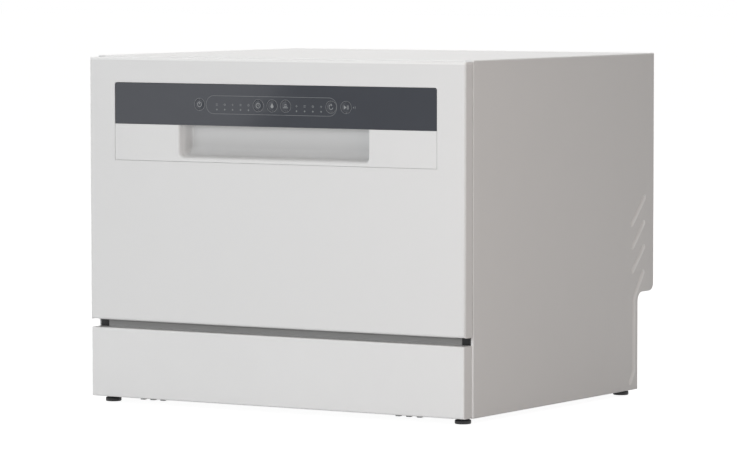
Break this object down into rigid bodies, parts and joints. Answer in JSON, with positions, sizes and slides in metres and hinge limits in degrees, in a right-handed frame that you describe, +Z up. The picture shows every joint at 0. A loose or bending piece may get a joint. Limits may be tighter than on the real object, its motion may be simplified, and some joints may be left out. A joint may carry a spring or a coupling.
{
  "type": "countertop dishwasher",
  "caption": "Boxy white countertop dishwasher with a drop-down door, dark control band, handle pocket, kick plate and a pull-out basket.",
  "frame": {"origin": "middle of the bounding box's underside, on the surface the feet stand on", "axes": "+X to the right seen from the door, -Y towards the user (the door's face), +Z up"},
  "size_m": [0.55, 0.5, 0.438],
  "materials": {
    "casing_white": "white powder coat, satin",
    "console_white": "moulded white plastic, satin",
    "band_dark": "dark grey gloss overlay",
    "zinc_sheet": "galvanised sheet",
    "inner_steel": "brushed stainless sheet",
    "rail_grey": "grey paint",
    "bracket_black": "black paint",
    "tray_grey": "grey moulded plastic",
    "black_plastic": "black moulded plastic",
    "white_plastic": "natural white plastic",
    "blue_plastic": "blue moulded plastic",
    "lid_grey": "light grey gloss plastic",
    "seal_rubber": "dark rubber",
    "wire_coat": "grey coated wire",
    "board_green": "green circuit board"
  },
  "bodies": {
    "root": {"side_panel_left": "casing_white", "side_panel_right": "casing_white", "top_cover": "casing_white", "rear_cover": "zinc_sheet", "base_tray": "tray_grey", "kick_plate": "console_white", "front_rail": "rail_grey", "hinge_brackets": "bracket_black", "tub": "inner_steel", "door_gasket": "seal_rubber", "sump": "tray_grey", "filter_plate": "inner_steel", "spray_manifold": "tray_grey", "salt_tank": "white_plastic", "circulation_pump": "black_plastic", "drain_pump": "white_plastic", "water_heater": "inner_steel", "inlet_valve": "white_plastic", "drain_spout": "black_plastic", "air_chamber": "white_plastic", "inner_hoses": "seal_rubber", "door_lock": "black_plastic", "power_board": "board_green", "cord_gland": "black_plastic", "door_springs": "zinc_sheet", "case_screws": "zinc_sheet"},
    "door": {"door_panel": "casing_white", "console_panel": "console_white", "control_band": "band_dark", "display_board": "board_green", "door_liner": "inner_steel", "hinge_arms": "zinc_sheet", "door_strike": "zinc_sheet", "dispenser_body": "tray_grey"},
    "basket": {"basket_floor": "wire_coat", "basket_walls": "wire_coat", "plate_tines": "wire_coat"},
    "foot_front_left": {"foot_front_left": "black_plastic"},
    "foot_front_right": {"foot_front_right": "black_plastic"},
    "foot_rear_left": {"foot_rear_left": "black_plastic"},
    "foot_rear_right": {"foot_rear_right": "black_plastic"},
    "filter_cup": {"filter_cup": "tray_grey"},
    "salt_cap": {"salt_cap": "white_plastic"},
    "spray_arm": {"spray_arm": "tray_grey"},
    "pump_impeller": {"pump_impeller": "white_plastic"},
    "drain_impeller": {"drain_impeller": "blue_plastic"},
    "overfill_float": {"overfill_float": "white_plastic"},
    "latch_lever": {"latch_lever": "zinc_sheet"},
    "power_key": {"power_key": "band_dark"},
    "delay_key": {"delay_key": "band_dark"},
    "dry_key": {"dry_key": "band_dark"},
    "option_key": {"option_key": "band_dark"},
    "program_key": {"program_key": "band_dark"},
    "start_key": {"start_key": "band_dark"},
    "dispenser_lid": {"dispenser_lid": "lid_grey"},
    "rinse_cap": {"rinse_cap": "blue_plastic"},
    "front_rollers": {"front_rollers": "tray_grey"},
    "rear_rollers": {"rear_rollers": "tray_grey"},
    "cutlery_basket": {"cutlery_basket": "tray_grey"},
    "cup_shelf": {"cup_shelf": "tray_grey"}
  },
  "joints": [
    {"name": "door_hinge", "type": "hinge", "parent": "root", "child": "door", "pos_m": [0, -0.2415, 0.112], "axis": [1, 0, 0], "range_deg": [0, 90]},
    {"name": "basket_slide", "type": "slide", "parent": "root", "child": "basket", "axis": [0, -1, 0], "range_m": [0, 0.14]},
    {"name": "front_roller_spin", "type": "hinge", "parent": "basket", "child": "front_rollers", "pos_m": [0, -0.1115, 0.1595], "axis": [1, 0, 0], "range_deg": [-5, 800]},
    {"name": "rear_roller_spin", "type": "hinge", "parent": "basket", "child": "rear_rollers", "pos_m": [0, 0.1185, 0.1595], "axis": [1, 0, 0], "range_deg": [-5, 800]},
    {"name": "cutlery_lift", "type": "slide", "parent": "basket", "child": "cutlery_basket", "axis": [0, 0, 1], "range_m": [0, 0.1]},
    {"name": "shelf_fold", "type": "hinge", "parent": "basket", "child": "cup_shelf", "pos_m": [-0.205, 0, 0.258], "axis": [0, -1, 0], "range_deg": [0, 95]},
    {"name": "spray_arm_spin", "type": "hinge", "parent": "root", "child": "spray_arm", "pos_m": [0, -0.023, 0.126], "axis": [0, 0, 1], "continuous": true},
    {"name": "filter_turn", "type": "hinge", "parent": "root", "child": "filter_cup", "pos_m": [0.044, -0.023, 0.1], "axis": [0, 0, 1], "range_deg": [0, 90]},
    {"name": "salt_cap_turn", "type": "hinge", "parent": "root", "child": "salt_cap", "pos_m": [-0.12, -0.121, 0.116], "axis": [0, 0, 1], "range_deg": [0, 450]},
    {"name": "pump_spin", "type": "hinge", "parent": "root", "child": "pump_impeller", "pos_m": [0.092, -0.023, 0.072], "axis": [1, 0, 0], "continuous": true},
    {"name": "drain_spin", "type": "hinge", "parent": "root", "child": "drain_impeller", "pos_m": [-0.05, 0.061, 0.072], "axis": [0, 1, 0], "continuous": true},
    {"name": "float_rise", "type": "slide", "parent": "root", "child": "overfill_float", "axis": [0, 0, 1], "range_m": [0, 0.006]},
    {"name": "latch_lift", "type": "hinge", "parent": "root", "child": "latch_lever", "pos_m": [0, -0.197, 0.4292], "axis": [1, 0, 0], "range_deg": [-5, 0], "stiffness_Nm_per_rad": 0.5},
    {"name": "power_press", "type": "slide", "parent": "door", "child": "power_key", "axis": [0, 1, 0], "range_m": [0, 0.0008], "stiffness_N_per_m": 500},
    {"name": "delay_press", "type": "slide", "parent": "door", "child": "delay_key", "axis": [0, 1, 0], "range_m": [0, 0.0008], "stiffness_N_per_m": 500},
    {"name": "dry_press", "type": "slide", "parent": "door", "child": "dry_key", "axis": [0, 1, 0], "range_m": [0, 0.0008], "stiffness_N_per_m": 500},
    {"name": "option_press", "type": "slide", "parent": "door", "child": "option_key", "axis": [0, 1, 0], "range_m": [0, 0.0008], "stiffness_N_per_m": 500},
    {"name": "program_press", "type": "slide", "parent": "door", "child": "program_key", "axis": [0, 1, 0], "range_m": [0, 0.0008], "stiffness_N_per_m": 500},
    {"name": "start_press", "type": "slide", "parent": "door", "child": "start_key", "axis": [0, 1, 0], "range_m": [0, 0.0008], "stiffness_N_per_m": 500},
    {"name": "lid_slide", "type": "slide", "parent": "door", "child": "dispenser_lid", "axis": [-1, 0, 0], "range_m": [0, 0.048]},
    {"name": "rinse_turn", "type": "hinge", "parent": "door", "child": "rinse_cap", "pos_m": [-0.029, -0.205, 0.262], "axis": [0, 1, 0], "range_deg": [0, 90]},
    {"name": "foot_front_left_screw", "type": "hinge", "parent": "root", "child": "foot_front_left", "pos_m": [-0.257, -0.225, 0], "axis": [0, 0, 1], "continuous": true},
    {"name": "foot_front_right_screw", "type": "hinge", "parent": "root", "child": "foot_front_right", "pos_m": [0.257, -0.225, 0], "axis": [0, 0, 1], "continuous": true},
    {"name": "foot_rear_left_screw", "type": "hinge", "parent": "root", "child": "foot_rear_left", "pos_m": [-0.257, 0.1745, 0], "axis": [0, 0, 1], "continuous": true},
    {"name": "foot_rear_right_screw", "type": "hinge", "parent": "root", "child": "foot_rear_right", "pos_m": [0.257, 0.1745, 0], "axis": [0, 0, 1], "continuous": true}
  ],
  "couplings": [
    {"joint": "basket_slide", "follows": "door_hinge", "m_per_rad": 0.088},
    {"joint": "front_roller_spin", "follows": "door_hinge", "ratio": 8.8},
    {"joint": "rear_roller_spin", "follows": "door_hinge", "ratio": 8.8}
  ]
}
